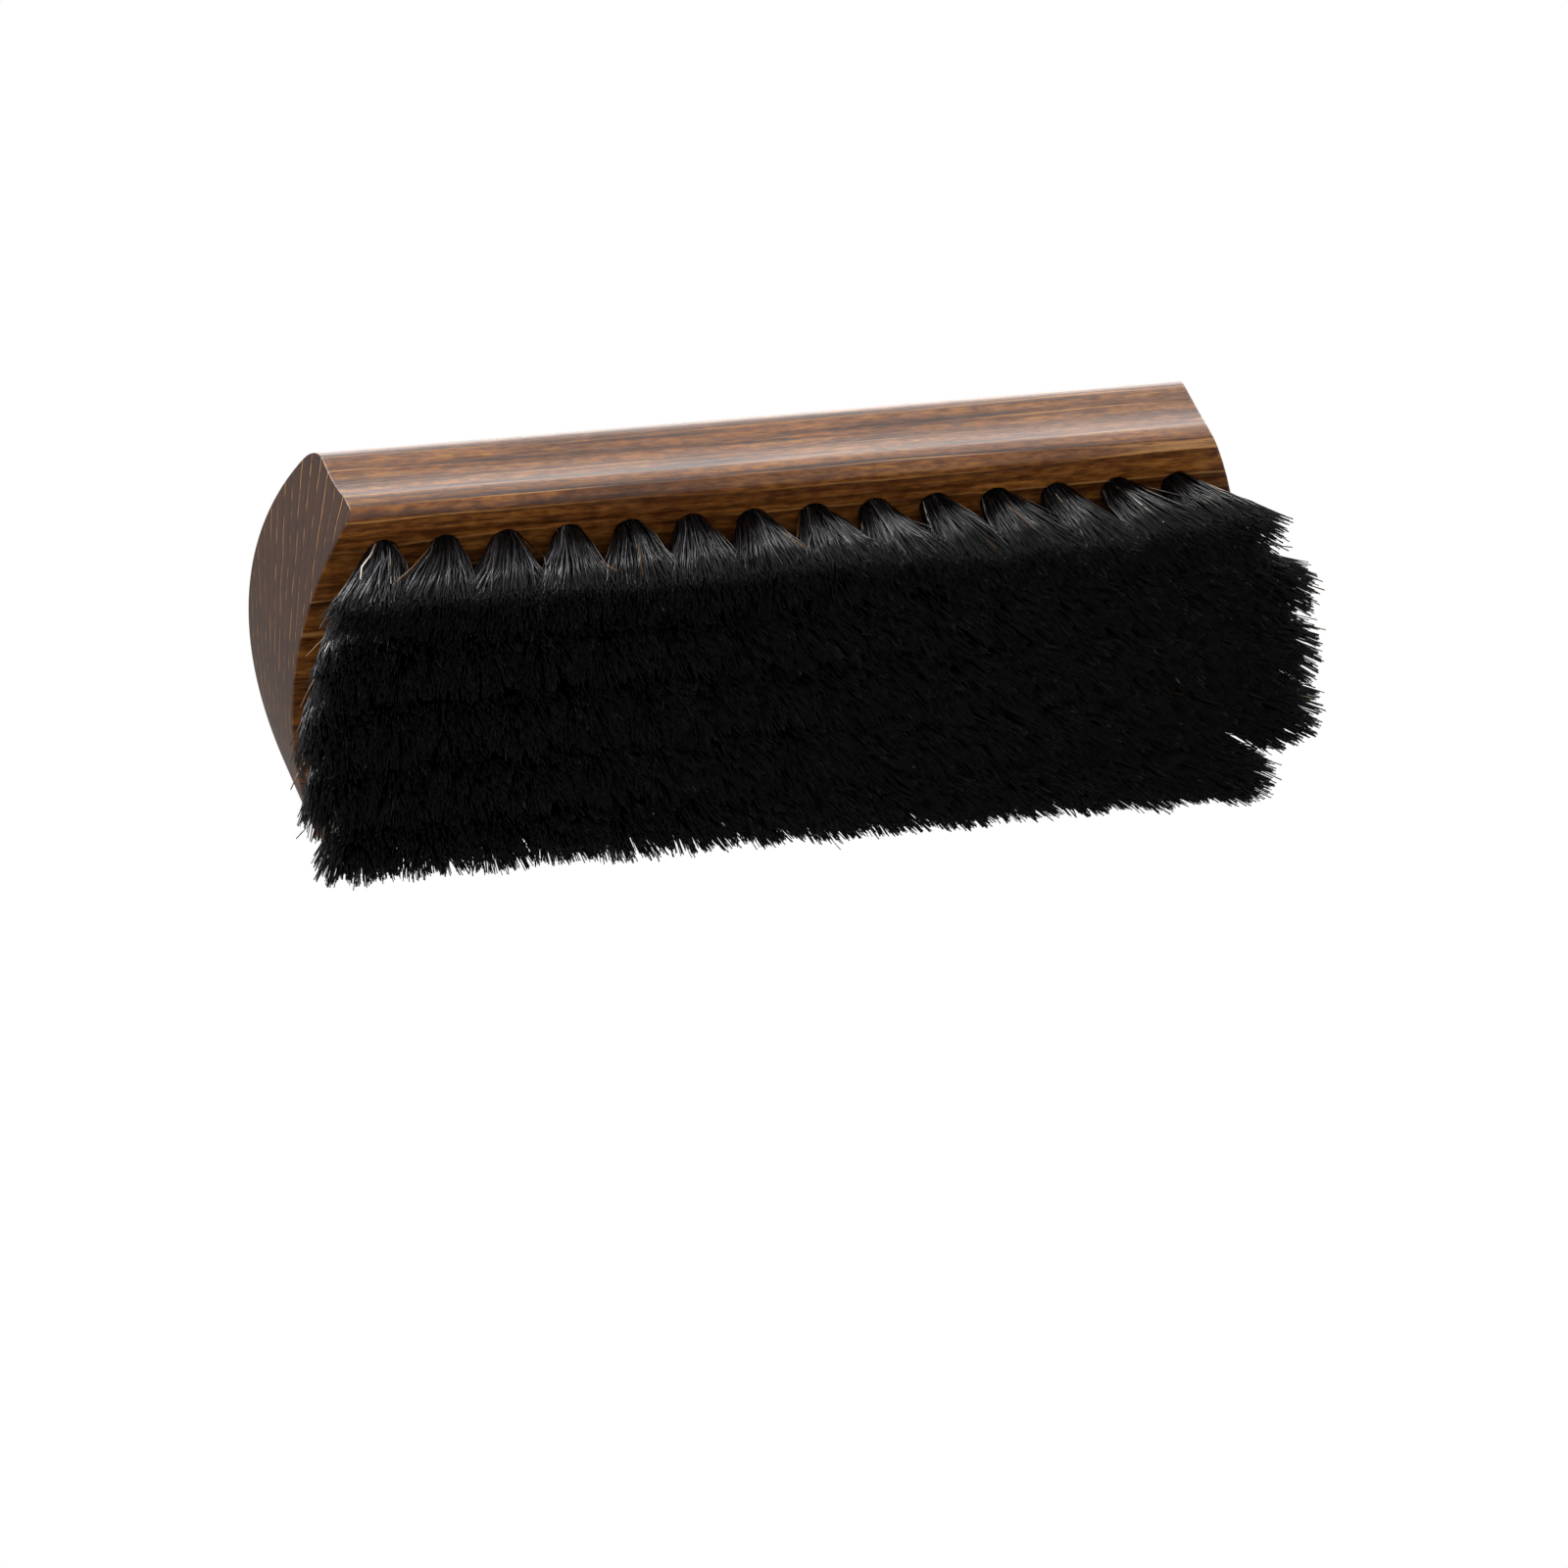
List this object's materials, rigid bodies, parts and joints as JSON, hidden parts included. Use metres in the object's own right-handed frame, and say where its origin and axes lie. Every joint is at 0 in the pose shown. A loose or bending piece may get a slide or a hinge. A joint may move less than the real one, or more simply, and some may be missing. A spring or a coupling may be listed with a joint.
{
  "type": "shoe shine brush",
  "caption": "Hand brush for polishing shoes: domed hardwood block with bowed ends and finger grooves, set with rows of soft black horsehair tufts.",
  "frame": {"origin": "centre of the bounding box in plan, at the level of the trimmed hair ends that the brush stands on", "axes": "+X along the length of the brush, +Y across its width, +Z from the hair ends up through the dome of the block"},
  "size_m": [0.1798, 0.0662, 0.0451],
  "materials": {
    "wood": "beech stained walnut brown, satin lacquer",
    "hair": "black horsehair, soft sheen",
    "wire": "drawn flat wire"
  },
  "bodies": {
    "root": {"block": "wood", "tufts_column_01": "hair", "tufts_column_02": "hair", "tufts_column_03": "hair", "tufts_column_04": "hair", "tufts_column_05": "hair", "tufts_column_06": "hair", "tufts_column_07": "hair", "tufts_column_08": "hair", "tufts_column_09": "hair", "tufts_column_10": "hair", "tufts_column_11": "hair", "tufts_column_12": "hair", "tufts_column_13": "hair", "tufts_column_14": "hair", "tufts_column_15": "hair", "tufts_column_16": "hair", "anchors_column_01": "wire", "anchors_column_02": "wire", "anchors_column_03": "wire", "anchors_column_04": "wire", "anchors_column_05": "wire", "anchors_column_06": "wire", "anchors_column_07": "wire", "anchors_column_08": "wire", "anchors_column_09": "wire", "anchors_column_10": "wire", "anchors_column_11": "wire", "anchors_column_12": "wire", "anchors_column_13": "wire", "anchors_column_14": "wire", "anchors_column_15": "wire", "anchors_column_16": "wire"}
  },
  "joints": []
}
